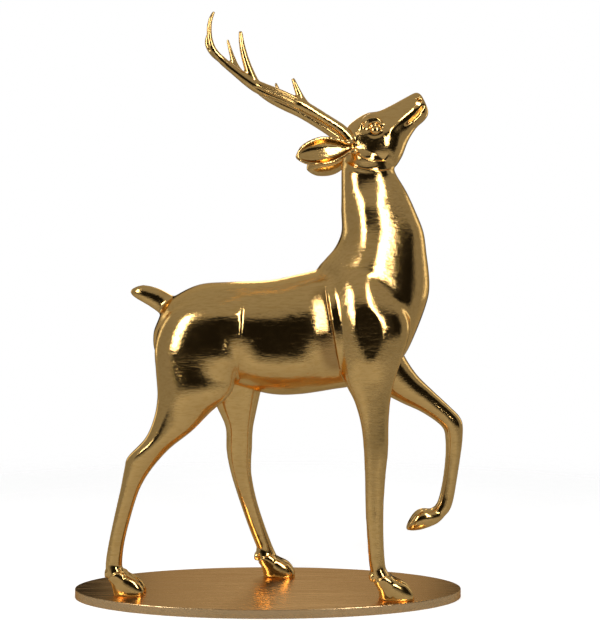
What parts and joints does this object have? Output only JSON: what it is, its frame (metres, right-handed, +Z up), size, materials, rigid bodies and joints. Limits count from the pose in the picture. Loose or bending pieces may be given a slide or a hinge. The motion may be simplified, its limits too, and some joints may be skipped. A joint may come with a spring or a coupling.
{
  "type": "stag statue",
  "caption": "Life-size gilded stag statue with raised head, antlers and a lifted foreleg, standing on a thin oval base plate.",
  "frame": {"origin": "centre of the base plate's underside, on the surface it stands on", "axes": "+Z up, +X the way the stag faces along the plate's long axis, +Y the stag's left, the side of the lifted foreleg"},
  "size_m": [1.4914, 0.6, 2.1603],
  "materials": {
    "gold_leaf": "polished gold leaf over smooth fiberglass",
    "brushed_gold_leaf": "satin gold leaf with fine lengthwise brush lines"
  },
  "bodies": {
    "root": {"stag": "gold_leaf", "base_plate": "brushed_gold_leaf"}
  },
  "joints": []
}
